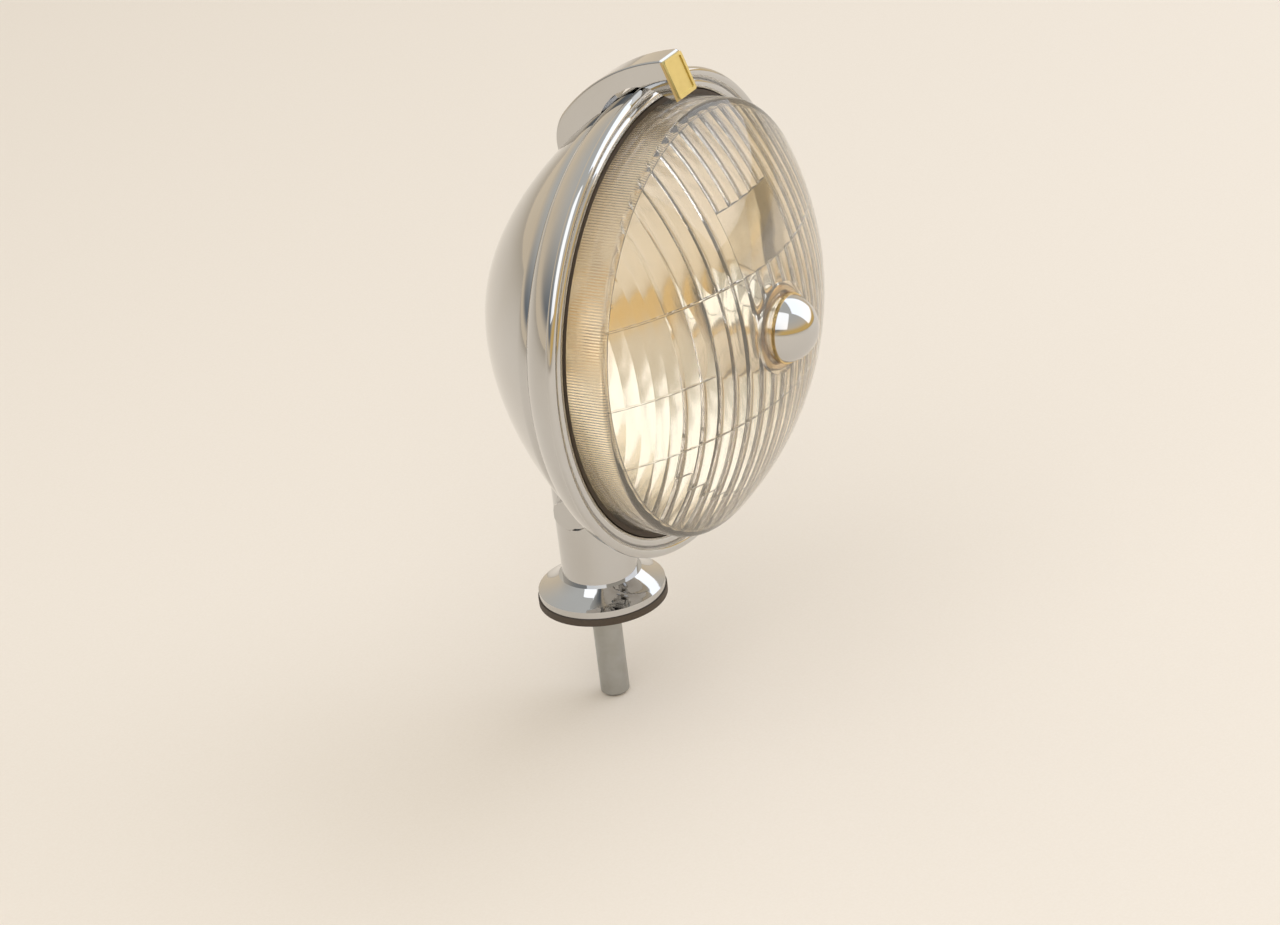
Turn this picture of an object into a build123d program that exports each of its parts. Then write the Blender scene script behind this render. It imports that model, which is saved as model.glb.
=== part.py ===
from build123d import *
import os
from math import asin, atan2, ceil, cos, hypot, radians, sin, sqrt, tan

# Auxiliary driving lamp with a fluted 7 inch glass, on a swivelling pedestal. Millimetres.
# Row frame: origin on the mounting face at the stud's axis, +Z up, the beam points along -Y.
# Lamp frame: origin on the lamp axis in the plane of the rim's lip, y counted backwards.

# Clearances
SEAT_GAP = 0.05  # between pieces that seat in one another
RUN_GAP = 0.05  # radial, round pins that turn
CLIP_GAP = 0.3  # between the clip and the rim's bead

# Glass: a domed front with a side band and a clamped flange
GLASS_R = 84.6  # side band
GLASS_WALL = 4.6
GLASS_FLANGE_WIDE = 3.4
GLASS_FLANGE_Y = (4.3, 8.8)
GLASS_CORNER_Y = -15.8  # where band and dome would meet without their round
GLASS_APEX_Y = -48.3
GLASS_CORNER_FILLET = 2.5
GLASS_BORE_R = 12.0  # for the bullet's hub
GLASS_SEAT_WALL = 4.3  # on the axis, where the shield's ring bears
GLASS_SEAT_GAP = 0.6  # round that ring

# Flutes on the glass's inner face, with a clear window and plain lines between their blocks
FLUTE_PITCH = 7.4
FLUTE_R = 8.0  # each flute is a convex rib of this radius
WIDE_FLUTES = 15  # of that pitch, one of them on the lamp axis
EDGE_PITCH = 4.9  # of the narrower flutes outside them
WINDOW_FLUTES = 5  # the clear window stands for this many flutes
BLOCK_FLUTES = 11  # how many the middle block has
WINDOW_TOP_Z = 51.5
WINDOW_FOOT_Z = 27.0
SIDE_LINE_Z = -2.3  # outside the middle block only
LOW_LINE_Z = -28.0
STEPPED_LINE_R = 65.0  # the line in steps below the low line follows this circle
LINE_WIDE = 0.7
LINE_DEPTH = 0.3  # how far windows and lines are sunk behind the flutes' edges

# Rim: the chromed ring that holds the glass
RIM_LIP_GAP = 2.0  # filled by the seal's lip
RIM_FRONT_WIDE = 8.4  # from the opening to the lip
RIM_TAPER = 10.5  # how much smaller the skirt's rear end is than the lip
RIM_LONG = 15.7  # from the lip's plane to the shell's crease
RIM_WALL = 1.2
RIM_BACK_Y = 3.0  # back of the front wall
BEAD_R = 2.1
BEAD_BEHIND = 0.7  # its middle, behind the lip's plane
SKIRT_BULGE = 1.6
SKIRT_START = 40.0  # degrees round the bead, backwards from where it is widest
BEAD_TOP = 25.0  # degrees round the bead, forwards
STEP_WIDE = 2.8  # raised step next to the opening
STEP_HIGH = 1.6
STEP_CROWN = 0.5
STEP_LANDS = (0.6, 1.1)  # width of its outer and inner slope
STEP_INNER_HIGH = 1.0
CHANNEL_SAG = 1.2
SEAL_PROUD = 0.6  # how far the seal's lip stands ahead of the rim's lip

# Shell: a spun chromed dome with a round shoulder, a bowed back and a nose cap
SHELL_WALL = 1.2
SHOULDER_DROP = 1.8  # how far the shoulder falls from the crease
SHOULDER_LONG = 5.6
NOSE_R = 24.1  # where the nose cap begins
SHELL_FLANGE_WIDE = 4.5
RIM_SHELL_GAP = 0.2

# Reflector and bulb
REFLECTOR_INSET = 5.6  # its edge inside the glass's band
REFLECTOR_DEPTH = 52.0  # to the apex that the hole cuts away
REFLECTOR_WALL = 0.9
REFLECTOR_HOLE_R = 14.0
REFLECTOR_ARCS = 4
REFLECTOR_LIP_LONG = 6.0  # how far its lip stands forward inside the glass's band
HOLDER_R = 12.0
HOLDER_FLANGE_WIDE = 4.0
HOLDER_FLANGE_THICK = 1.5
HOLDER_AHEAD = 4.0  # how far it stands into the bowl
HOLDER_LONG = 9.0
HOLDER_NOSE_GAP = 1.5  # from its back to where the shell's nose cap begins
CAP_R = 7.5
CAP_LONG = 16.0
BULB_R = 9.5
BULB_NECK = 3.0  # how deep the bulb sits in its cap

# Bulb shield: a spun bell behind the middle of the glass
SHIELD_FRONT_R = 15.0
SHIELD_MOUTH_R = 23.0
SHIELD_LONG = 19.0
SHIELD_FLARE = 18.0  # degrees between its front edge and the lamp axis
SHIELD_WALL = 0.9
RING_R = 17.0
RING_STEP = 0.8  # from its edge to the round bead ahead of it
RING_BEAD_R = 1.9
RING_FLANGE_THICK = 1.4

# Centre bullet
BULLET_R = 13.1
BULLET_FLANK = 14.0  # degrees between its base and the lamp axis
BULLET_NOSE_R = 5.0  # where its round nose begins
BULLET_NOSE_AHEAD = 9.6
COLLAR_WIDE = 0.6  # how far the collar stands out beyond the bullet
COLLAR_THICK = 1.2
STEM_R = 4.0

# Top clip, a side view as (distance behind the lip, height above the lip's circle)
CLIP_WIDE = 14.4
CLIP_NOSE_TOP = (-9.0, 11.4)
CLIP_NOSE_FOOT = (-15.0, -4.6)
CLIP_BACK_FALL = 8.0  # degrees, where the back leaves the nose
CLIP_SHOULDER = (35.8, -12.5)  # here the back bends down to the tail
CLIP_TAIL = (37.5, -36.0)  # inside the shell, which cuts the tail off
CLIP_SEAT_Y = (-2.5, 3.0)
CLIP_ARCH_MIDDLE = (12.2, -3.6)
CLIP_ARCH_END = (20.0, -13.0)
CLIP_ROOT = 12.0  # how far the arch would reach into the shell
CLIP_FILLET = 0.9
CLIP_NOSE_CHAMFER = 0.6
BADGE_THICK = 1.0
BADGE_MARGIN = 0.8  # chrome left bare round it
BADGE_WELL = 0.5
BADGE_BORDER = 1.3
BADGE_CORNER_R = 1.2

# Knuckle and post
PIVOT_Z = 46.0  # tilt axis above the mounting face
PIVOT_BELOW = 1.5  # tilt axis below the shell's crease
LIP_AHEAD = 50.0  # plane of the rim's lip ahead of the stud's axis
POST_R = 15.5
KNUCKLE_GAP = 1.0
TONGUE_THICK = 10.0
TONGUE_R = 12.0
SLOT_GAP = 0.2
SLOT_FLOOR = 14.0  # below the tilt axis
BOLT_R = 4.0
BOLT_END_CHAMFER = 0.6
HEX_R = 7.0  # over the corners of the bolt's head and nut
HEX_HIGH = 4.5
HEX_CHAMFER = 0.7
WASHER_R = 8.0
WASHER_THICK = 1.2
EAR_FLAT_DEEP = 2.0  # how far the washers' flats are cut into the post
EAR_FLAT_GAP = 0.5  # round the washer

# Foot and stud
SPIGOT_R = 8.0
SPIGOT_HIGH = 13.0
SPIGOT_TOP_GAP = 1.0
FOOT_R = 26.0
FOOT_TOP_R = 17.0
FOOT_TOP_Z = 12.0
FOOT_EDGE = 3.0
FOOT_HOLLOW = 0.6  # how far the foot's slope curves in
PAD_THICK = 3.0
PAD_LIP = 0.5  # how far the pad stands out beyond the foot
PAD_BORE_GAP = 0.5
STUD_R = 6.0
STUD_LONG = 45.0  # free below the mounting face
STUD_SET = 15.0  # screwed into the foot
STUD_CHAMFER = 1.2
STUD_RELIEF_LONG = 2.5
STUD_RELIEF_DEEP = 0.8

# Cable grommet in the shell's lower back
GROMMET_R = 6.0
GROMMET_LIP_WIDE = 2.5
GROMMET_LIP_HIGH = 2.0
GROMMET_BORE_R = 3.3

CUT_OVER = 5.0  # how far a cut reaches past what it cuts

RIM_INNER_R = GLASS_R + RIM_LIP_GAP
LIP_R = RIM_INNER_R + RIM_FRONT_WIDE
CREASE_R = LIP_R - RIM_TAPER
CREASE_Y = RIM_LONG
GLASS_FLANGE_R = GLASS_R + GLASS_FLANGE_WIDE
GLASS_INNER_R = GLASS_R - GLASS_WALL
GLASS_SEAT_Y = GLASS_APEX_Y + GLASS_SEAT_WALL
RING_FRONT_Y = GLASS_SEAT_Y + SEAT_GAP
RING_BACK_Y = RING_FRONT_Y + 2 * RING_BEAD_R + RING_FLANGE_THICK
REFLECTOR_R = GLASS_R - REFLECTOR_INSET
FOCAL_LENGTH = REFLECTOR_R**2 / (4 * REFLECTOR_DEPTH)
SHELL_MOUTH_Y = GLASS_FLANGE_Y[1] + REFLECTOR_WALL  # the shell's mouth clamps the reflector's flange
EAR_FLAT_X = POST_R - EAR_FLAT_DEEP
AXIS_HEIGHT = PIVOT_Z + PIVOT_BELOW + CREASE_R
LAMP = Location((0, -LIP_AHEAD, AXIS_HEIGHT))

pieces = {}


def reflector_y(r):
    """Where the reflecting face lies at a radius: a paraboloid about the lamp axis."""
    return GLASS_FLANGE_Y[1] + (REFLECTOR_R**2 - r**2) / (4 * FOCAL_LENGTH)


HOLDER_FRONT_Y = reflector_y(REFLECTOR_HOLE_R) + 2 * REFLECTOR_WALL
NOSE_Y = HOLDER_FRONT_Y + HOLDER_LONG + HOLDER_NOSE_GAP


def at(r, y):
    """A point of a turned profile: r out from the lamp axis, y behind the lip."""
    return Vector(0, y, r)


def turned(edges):
    """The solid that a closed profile sweeps about the lamp axis."""
    return revolve(Face(Wire(edges)), Axis.Y)


def ring(inner_r, outer_r, front_y, back_y):
    """A plain ring about the lamp axis."""
    corners = [at(inner_r, front_y), at(outer_r, front_y), at(outer_r, back_y), at(inner_r, back_y)]
    return turned(Polyline(*corners, close=True).edges())


def outward(point, heading, distance):
    """The point moved square to its heading, away from the lamp axis or backwards."""
    return (point[0] + distance * cos(heading), point[1] + distance * sin(heading))


def arcs_through(start, heading, knots):
    """Arcs tangent to one another through the knots, each as three (point, heading) pairs.

    A heading of 0 runs straight back, one of 90 degrees straight towards the lamp axis.
    """
    arcs = []
    for knot in knots:
        chord = atan2(start[0] - knot[0], knot[1] - start[1])
        half = hypot(knot[0] - start[0], knot[1] - start[1]) / 2
        middle = ((start[0] + knot[0]) / 2, (start[1] + knot[1]) / 2)
        middle = outward(middle, chord, half * tan((chord - heading) / 2))
        turned_to = 2 * chord - heading
        arcs.append(((start, heading), (middle, chord), (knot, turned_to)))
        start, heading = knot, turned_to
    return arcs


def cap_arc(start, heading):
    """The arc from start to the lamp axis, which it meets square."""
    radius = start[0] / cos(heading)
    centre = (0.0, start[1] - radius * sin(heading))
    stations = [heading, (heading + radians(90)) / 2, radians(90)]
    return tuple((outward(centre, turn, radius), turn) for turn in stations)


def arc_edges(arcs, inset=0.0, place=at):
    """The arcs as edges, moved inwards by the inset."""
    edges = []
    for arc in arcs:
        edges.append(ThreePointArc(*[place(*outward(point, turn, -inset)) for point, turn in arc]))
    return edges


def make_shell_arcs():
    shoulder_end = (CREASE_R - SHOULDER_DROP, CREASE_Y + SHOULDER_LONG)
    arcs = arcs_through((CREASE_R, CREASE_Y), 0.0, (shoulder_end, (NOSE_R, NOSE_Y)))
    last_point, last_heading = arcs[-1][2]
    return arcs + [cap_arc(last_point, last_heading)]


SHELL_ARCS = make_shell_arcs()


def shell_solid(inset, front_y):
    """The shell's outer form or, with an inset, its hollow, closed at front_y."""
    radius = CREASE_R - inset
    edges = arc_edges(SHELL_ARCS, inset)
    apex_y = SHELL_ARCS[-1][2][0][1] - inset
    edges.append(Line(at(0, apex_y), at(0, front_y)))
    edges.append(Line(at(0, front_y), at(radius, front_y)))
    edges.append(Line(at(radius, front_y), at(radius, CREASE_Y)))
    return turned(edges)


def shell_wall(gap):
    """The shell's wall, thicker by the gap on both sides and open in front."""
    hollow = shell_solid(SHELL_WALL + gap, SHELL_MOUTH_Y - CUT_OVER)
    return shell_solid(-gap, SHELL_MOUTH_Y) - hollow


def make_shell():
    flange_r = CREASE_R - SHELL_FLANGE_WIDE
    flange = ring(flange_r, CREASE_R - SHELL_WALL / 2, SHELL_MOUTH_Y, SHELL_MOUTH_Y + SHELL_WALL)
    hole = grommet_place() * Cylinder(GROMMET_R + SEAT_GAP, 2 * CUT_OVER)
    return shell_wall(0) + flange - hole


def grommet_place():
    """On the shell's outside at its last knot, below the lamp axis, with Z outwards."""
    point, heading = SHELL_ARCS[-1][0]
    origin = (0, point[1], -point[0])
    return Location(Plane(origin=origin, x_dir=(1, 0, 0), z_dir=(0, sin(heading), -cos(heading))))


def make_grommet():
    """Two lips on a neck, closed on the shell's wall from both sides."""
    high = 2 * GROMMET_LIP_HIGH + SHELL_WALL
    middle = grommet_place() * Pos(0, 0, -SHELL_WALL / 2)
    lips = middle * Cylinder(GROMMET_R + GROMMET_LIP_WIDE, high) - shell_wall(SEAT_GAP)
    neck = middle * Cylinder(GROMMET_R, high)
    return lips + neck - middle * Cylinder(GROMMET_BORE_R, 2 * high)


def make_rim():
    """Skirt, bead, front channel and raised step, with the walls that follow them inside."""
    bead = (LIP_R - BEAD_R, BEAD_BEHIND)
    rear = CREASE_R + RIM_SHELL_GAP
    rear_y = CREASE_Y - RIM_SHELL_GAP
    skirt_end = outward(bead, radians(SKIRT_START), BEAD_R)
    lean = atan2(skirt_end[0] - rear - RIM_WALL, rear_y - skirt_end[1])
    skirt_middle = ((skirt_end[0] + rear + RIM_WALL) / 2, (skirt_end[1] + rear_y) / 2)
    skirt_middle = outward(skirt_middle, lean, SKIRT_BULGE)
    inside_top = (skirt_end[0] - 2 * RIM_WALL, RIM_BACK_Y + RIM_WALL)
    inside_middle = outward(skirt_middle, lean, -RIM_WALL)
    bead_front = (bead[0], bead[1] - BEAD_R)
    step_foot = (RIM_INNER_R + STEP_WIDE + STEP_LANDS[0], STEP_HIGH)
    channel_y = (bead_front[1] + step_foot[1]) / 2 + CHANNEL_SAG
    channel_middle = ((bead_front[0] + step_foot[0]) / 2, channel_y)
    step_out, step_in = (RIM_INNER_R + STEP_WIDE, 0.0), (RIM_INNER_R + STEP_LANDS[1], 0.0)
    step_top = ((step_out[0] + step_in[0]) / 2, -STEP_CROWN)
    opening = (RIM_INNER_R, STEP_INNER_HIGH)
    edges = [
        ThreePointArc(at(rear + RIM_WALL, rear_y), at(*skirt_middle), at(*skirt_end)),
        ThreePointArc(at(*skirt_end), at(*outward(bead, -radians(BEAD_TOP), BEAD_R)), at(*bead_front)),
        ThreePointArc(at(*bead_front), at(*channel_middle), at(*step_foot)),
        Line(at(*step_foot), at(*step_out)),
        ThreePointArc(at(*step_out), at(*step_top), at(*step_in)),
        Line(at(*step_in), at(*opening)),
        Line(at(*opening), at(RIM_INNER_R, RIM_BACK_Y)),
        Line(at(RIM_INNER_R, RIM_BACK_Y), at(inside_top[0] - RIM_WALL, RIM_BACK_Y)),
        Line(at(inside_top[0] - RIM_WALL, RIM_BACK_Y), at(*inside_top)),
        ThreePointArc(at(*inside_top), at(*inside_middle), at(rear, rear_y)),
        Line(at(rear, rear_y), at(rear + RIM_WALL, rear_y)),
    ]
    return turned(edges)


def make_seal():
    band_r, flange_y = GLASS_R + SEAT_GAP, GLASS_FLANGE_Y[0]
    lip = ring(band_r, RIM_INNER_R - SEAT_GAP, -SEAL_PROUD, flange_y)
    return lip + ring(band_r, GLASS_FLANGE_R, RIM_BACK_Y, flange_y)


def glass_sphere():
    """Radius of the glass's outer dome and its centre's place on the lamp axis."""
    rise = GLASS_CORNER_Y - GLASS_APEX_Y
    radius = (GLASS_R**2 + rise**2) / (2 * rise)
    return radius, GLASS_APEX_Y + radius


def glass_front_y(r):
    """The glass's outer face at a radius."""
    outer_r, centre_y = glass_sphere()
    return centre_y - sqrt(outer_r**2 - r**2)


def flute_high(pitch):
    """How far a flute of that pitch stands out."""
    return FLUTE_R - sqrt(FLUTE_R**2 - (pitch / 2) ** 2)


def flute_bounds():
    """Where the flutes meet, from the lamp axis outwards."""
    wide = [(count + 0.5) * FLUTE_PITCH for count in range(ceil(WIDE_FLUTES / 2))]
    edge_count = ceil((GLASS_INNER_R - wide[-1]) / EDGE_PITCH) + 1
    return wide + [wide[-1] + (count + 1) * EDGE_PITCH for count in range(edge_count)]


def flute_core():
    """What the flutes leave hollow: a scalloped profile turned about a line across the dome."""
    outer_r, centre_y = glass_sphere()
    radius = outer_r - GLASS_WALL
    bounds = flute_bounds()
    bounds = [-x for x in reversed(bounds)] + bounds
    edges = []
    for left, right in zip(bounds, bounds[1:]):
        middle = (left + right) / 2
        ends = [Vector(x, centre_y - sqrt(radius**2 - x**2), 0) for x in (left, right)]
        crest_y = centre_y - sqrt(radius**2 - middle**2) + flute_high(right - left)
        edges.append(ThreePointArc(ends[0], Vector(middle, crest_y, 0), ends[1]))
    floor_y = GLASS_FLANGE_Y[1] + CUT_OVER
    left_end, right_end = edges[0] @ 0, edges[-1] @ 1
    edges.append(Line(right_end, Vector(right_end.X, floor_y, 0)))
    edges.append(Line(Vector(right_end.X, floor_y, 0), Vector(left_end.X, floor_y, 0)))
    edges.append(Line(Vector(left_end.X, floor_y, 0), left_end))
    return revolve(Face(Wire(edges)), Axis((0, centre_y, 0), (1, 0, 0)))


def window(left, right, low, high):
    """An upright slab through the glass, as seen from the front."""
    return Pos((left + right) / 2, 0, (low + high) / 2) * Box(right - left, 4 * GLASS_R, high - low)


def level_line(left, right, z):
    return window(left, right, z - LINE_WIDE / 2, z + LINE_WIDE / 2)


def stepped_line():
    """Flute ends in steps that follow a circle below the low line."""
    steps = []
    last_z = LOW_LINE_Z
    bounds = [x for x in flute_bounds() if hypot(x, LOW_LINE_Z) < STEPPED_LINE_R]
    bounds = [-x for x in reversed(bounds)] + bounds
    for left, right in zip(bounds, bounds[1:]):
        z = -sqrt(STEPPED_LINE_R**2 - ((left + right) / 2) ** 2)
        low, high = sorted((z, last_z))
        steps.append(level_line(left, right, z))
        steps.append(window(left - LINE_WIDE / 2, left + LINE_WIDE / 2, low, high))
        last_z = z
    steps.append(window(bounds[-1] - LINE_WIDE / 2, bounds[-1] + LINE_WIDE / 2, last_z, LOW_LINE_Z))
    return steps


def plain_regions():
    """The clear window and the lines between blocks of flutes."""
    window_half = WINDOW_FLUTES / 2 * FLUTE_PITCH
    block_half = BLOCK_FLUTES / 2 * FLUTE_PITCH
    regions = [window(-window_half, window_half, WINDOW_FOOT_Z, WINDOW_TOP_Z)]
    regions.append(level_line(-GLASS_R, GLASS_R, WINDOW_FOOT_Z))
    regions.append(level_line(-GLASS_R, -block_half, SIDE_LINE_Z))
    regions.append(level_line(block_half, GLASS_R, SIDE_LINE_Z))
    regions.append(level_line(-GLASS_R, GLASS_R, LOW_LINE_Z))
    return regions + stepped_line()


def glass_outside():
    """Half section from the dome's apex over the rounded corner and the band to the flange."""
    outer_r, centre_y = glass_sphere()
    fillet_r = GLASS_CORNER_FILLET
    # The corner's round touches both the side band and the dome.
    round_r = GLASS_R - fillet_r
    round_y = centre_y - sqrt((outer_r - fillet_r) ** 2 - round_r**2)
    slope = asin(round_r / (outer_r - fillet_r))
    touch = (outer_r * sin(slope), centre_y - outer_r * cos(slope))
    half_turn = (radians(90) - slope) / 2
    round_middle = (round_r + fillet_r * cos(half_turn), round_y - fillet_r * sin(half_turn))
    dome_middle = (outer_r * sin(slope / 2), centre_y - outer_r * cos(slope / 2))
    edges = [
        ThreePointArc(at(0, GLASS_APEX_Y), at(*dome_middle), at(*touch)),
        ThreePointArc(at(*touch), at(*round_middle), at(GLASS_R, round_y)),
    ]
    flange_front, flange_back = GLASS_FLANGE_Y
    corners = [(GLASS_R, round_y), (GLASS_R, flange_front), (GLASS_FLANGE_R, flange_front)]
    corners += [(GLASS_FLANGE_R, flange_back), (0, flange_back), (0, GLASS_APEX_Y)]
    return edges + Polyline(*[at(*corner) for corner in corners]).edges()


def make_glass():
    outer_r, centre_y = glass_sphere()
    limit = ring(0, GLASS_INNER_R, GLASS_APEX_Y - CUT_OVER, GLASS_FLANGE_Y[1] + CUT_OVER)
    glass = turned(glass_outside()) - (flute_core() & limit)
    sunk = Pos(0, centre_y, 0) * Sphere(outer_r - GLASS_WALL + LINE_DEPTH) & limit
    for region in plain_regions():
        glass -= sunk & region
    glass -= ring(0, RING_R + GLASS_SEAT_GAP, GLASS_SEAT_Y, 0)
    return glass - ring(0, GLASS_BORE_R, GLASS_APEX_Y - CUT_OVER, 0)


def make_reflector():
    heading = atan2(2 * FOCAL_LENGTH, REFLECTOR_R)
    step = (REFLECTOR_R - REFLECTOR_HOLE_R) / REFLECTOR_ARCS
    radii = [REFLECTOR_R - step * (count + 1) for count in range(REFLECTOR_ARCS)]
    start = (REFLECTOR_R, reflector_y(REFLECTOR_R))
    arcs = arcs_through(start, heading, [(r, reflector_y(r)) for r in radii])
    front = arc_edges(arcs)
    back = arc_edges(arcs, -REFLECTOR_WALL)
    edges = front + [Line(front[-1] @ 1, back[-1] @ 1)] + back + [Line(back[0] @ 0, front[0] @ 0)]
    flange_y = GLASS_FLANGE_Y[1] + SEAT_GAP
    lip_r = GLASS_INNER_R - SEAT_GAP
    lip = ring(lip_r - REFLECTOR_WALL, lip_r, flange_y - REFLECTOR_LIP_LONG, SHELL_MOUTH_Y)
    return turned(edges) + lip + ring(REFLECTOR_R, GLASS_FLANGE_R, flange_y, SHELL_MOUTH_Y)


def make_holder():
    bore_r = CAP_R + SEAT_GAP
    flange_r = REFLECTOR_HOLE_R + HOLDER_FLANGE_WIDE
    flange = ring(bore_r, flange_r, HOLDER_FRONT_Y, HOLDER_FRONT_Y + HOLDER_FLANGE_THICK)
    return flange + ring(bore_r, HOLDER_R, HOLDER_FRONT_Y - HOLDER_AHEAD, HOLDER_FRONT_Y + HOLDER_LONG)


def make_bulb():
    back_y = HOLDER_FRONT_Y + HOLDER_LONG - HOLDER_FLANGE_THICK
    cap = ring(0, CAP_R, back_y - CAP_LONG, back_y)
    return cap + Pos(0, back_y - CAP_LONG - BULB_R + BULB_NECK, 0) * Sphere(BULB_R)


def make_shield_ring():
    """A distance ring with a bead and a flange, held against the glass by the shield."""
    bore_r = STEM_R + SEAT_GAP
    bead_r = RING_R - RING_STEP - RING_BEAD_R
    bead_y = RING_FRONT_Y + RING_BEAD_R
    flange_y = bead_y + RING_BEAD_R
    edge_r, edge_y = RING_R - RING_FLANGE_THICK / 2, (flange_y + RING_BACK_Y) / 2
    edges = [
        ThreePointArc(at(bead_r, RING_FRONT_Y), at(bead_r + RING_BEAD_R, bead_y), at(bead_r, flange_y)),
        Line(at(bead_r, flange_y), at(edge_r, flange_y)),
        ThreePointArc(at(edge_r, flange_y), at(RING_R, edge_y), at(edge_r, RING_BACK_Y)),
    ]
    corners = [(edge_r, RING_BACK_Y), (bore_r, RING_BACK_Y), (bore_r, RING_FRONT_Y), (bead_r, RING_FRONT_Y)]
    return turned(edges + Polyline(*[at(*corner) for corner in corners]).edges())


def make_shield():
    """A bell with a flat front plate, open behind."""
    front_y = RING_BACK_Y
    place = lambda r, ahead: at(r, front_y + SHIELD_LONG - ahead)
    start = (SHIELD_MOUTH_R, 0.0)
    flank = arcs_through(start, radians(SHIELD_FLARE), [(SHIELD_FRONT_R, SHIELD_LONG)])
    outer, inner = arc_edges(flank, place=place), arc_edges(flank, SHIELD_WALL, place)
    ends = [Line(outer[-1] @ 1, inner[-1] @ 1), Line(inner[0] @ 0, outer[0] @ 0)]
    plate = ring(STEM_R + SEAT_GAP, SHIELD_FRONT_R, front_y, front_y + SHIELD_WALL)
    return turned(outer + inner + ends) + plate


def collar_back_y():
    """The collar bears on the edge of the glass's bore."""
    return glass_front_y(GLASS_BORE_R) - SEAT_GAP


def make_collar():
    back_y = collar_back_y()
    return ring(GLASS_BORE_R, BULLET_R + COLLAR_WIDE, back_y - COLLAR_THICK, back_y)


def make_bullet():
    """A pointed cap on a hub that fills the glass's bore, riveted over behind the shield."""
    base_y = collar_back_y() - COLLAR_THICK
    flank = arcs_through((BULLET_R, 0.0), radians(BULLET_FLANK), [(BULLET_NOSE_R, BULLET_NOSE_AHEAD)])
    arcs = flank + [cap_arc(*flank[-1][2])]
    edges = arc_edges(arcs, place=lambda r, ahead: at(r, base_y - ahead))
    edges += Polyline(edges[-1] @ 1, at(0, base_y), at(BULLET_R, base_y)).edges()
    hub = ring(0, GLASS_BORE_R - SEAT_GAP, base_y, GLASS_SEAT_Y)
    stem_back = RING_BACK_Y + SHIELD_WALL
    rivet = ring(0, STEM_R + SHIELD_WALL, stem_back, stem_back + SHIELD_WALL)
    return turned(edges) + hub + ring(0, STEM_R, GLASS_SEAT_Y, stem_back) + rivet


def side(y, above):
    """A point of the clip's side view."""
    return Vector(0, y, LIP_R + above)


def make_clip():
    """The finial: it lies on the shell at its tail, arches over the rim and ends in the badge's face."""
    arch_root = (CLIP_ARCH_END[0], CLIP_ARCH_END[1] - CLIP_ROOT)
    seat_front, seat_back = [(y, CLIP_GAP) for y in CLIP_SEAT_Y]
    nose_top, *knots = [(above, y) for y, above in (CLIP_NOSE_TOP, CLIP_SHOULDER, CLIP_TAIL)]
    back = arcs_through(nose_top, radians(CLIP_BACK_FALL), knots)
    edges = arc_edges(back, place=lambda above, y: side(y, above)) + [
        Line(side(*CLIP_NOSE_FOOT), side(*CLIP_NOSE_TOP)),
        Line(side(*CLIP_TAIL), side(*arch_root)),
        Line(side(*arch_root), side(*CLIP_ARCH_END)),
        ThreePointArc(side(*CLIP_ARCH_END), side(*CLIP_ARCH_MIDDLE), side(*seat_back)),
        Line(side(*seat_back), side(*seat_front)),
        Line(side(*seat_front), side(*CLIP_NOSE_FOOT)),
    ]
    body = extrude(Face(Wire(edges)), CLIP_WIDE / 2, dir=(1, 0, 0), both=True)
    body = fillet(body.edges().filter_by(GeomType.CIRCLE).sort_by(SortBy.LENGTH)[-2:], CLIP_FILLET)
    body = chamfer(body.faces().sort_by(badge_axis())[-1].edges(), CLIP_NOSE_CHAMFER)
    return body - shell_solid(-SEAT_GAP, SHELL_MOUTH_Y)


def badge_axis():
    """The axis that leaves the middle of the clip's front face."""
    place = Plane(badge_place())
    return Axis(place.origin, place.z_dir)


def badge_place():
    """The middle of the clip's front face, Z forwards."""
    middle = side(*[(a + b) / 2 for a, b in zip(CLIP_NOSE_TOP, CLIP_NOSE_FOOT)])
    fall = atan2(CLIP_NOSE_TOP[0] - CLIP_NOSE_FOOT[0], CLIP_NOSE_TOP[1] - CLIP_NOSE_FOOT[1])
    return Location(Plane(origin=middle, x_dir=(1, 0, 0), z_dir=(0, -cos(fall), sin(fall))))


def make_badge():
    nose_high = hypot(CLIP_NOSE_TOP[0] - CLIP_NOSE_FOOT[0], CLIP_NOSE_TOP[1] - CLIP_NOSE_FOOT[1])
    wide, high = CLIP_WIDE - 2 * BADGE_MARGIN, nose_high - 2 * BADGE_MARGIN
    plate = extrude(RectangleRounded(wide, high, BADGE_CORNER_R), BADGE_THICK)
    inner_corner_r = BADGE_CORNER_R - BADGE_BORDER / 2
    well = RectangleRounded(wide - 2 * BADGE_BORDER, high - 2 * BADGE_BORDER, inner_corner_r)
    return badge_place() * (plate - Pos(0, 0, BADGE_THICK - BADGE_WELL) * extrude(well, BADGE_THICK))


def across(radius, length, x=0.0):
    """A cylinder along the tilt axis, in the row frame."""
    return Pos(x, 0, PIVOT_Z) * Rot(0, 90, 0) * Cylinder(radius, length)


def upright(radius, low, high):
    """A cylinder about the stud's axis between two heights."""
    return Pos(0, 0, (low + high) / 2) * Cylinder(radius, high - low)


def make_saddle():
    """The boss under the shell with the tongue that the knuckle holds."""
    boss = upright(POST_R, PIVOT_Z, AXIS_HEIGHT)
    boss -= across(POST_R + KNUCKLE_GAP, 3 * POST_R)
    tongue_top = PIVOT_Z + POST_R + KNUCKLE_GAP + POST_R / 4
    tongue = across(TONGUE_R, TONGUE_THICK)
    neck = Box(TONGUE_THICK, 2 * TONGUE_R, tongue_top - PIVOT_Z)
    tongue += Pos(0, 0, (PIVOT_Z + tongue_top) / 2) * neck
    whole = boss + tongue - across(BOLT_R + RUN_GAP, 2 * TONGUE_THICK)
    return whole - LAMP * shell_solid(-SEAT_GAP, SHELL_MOUTH_Y)


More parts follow.
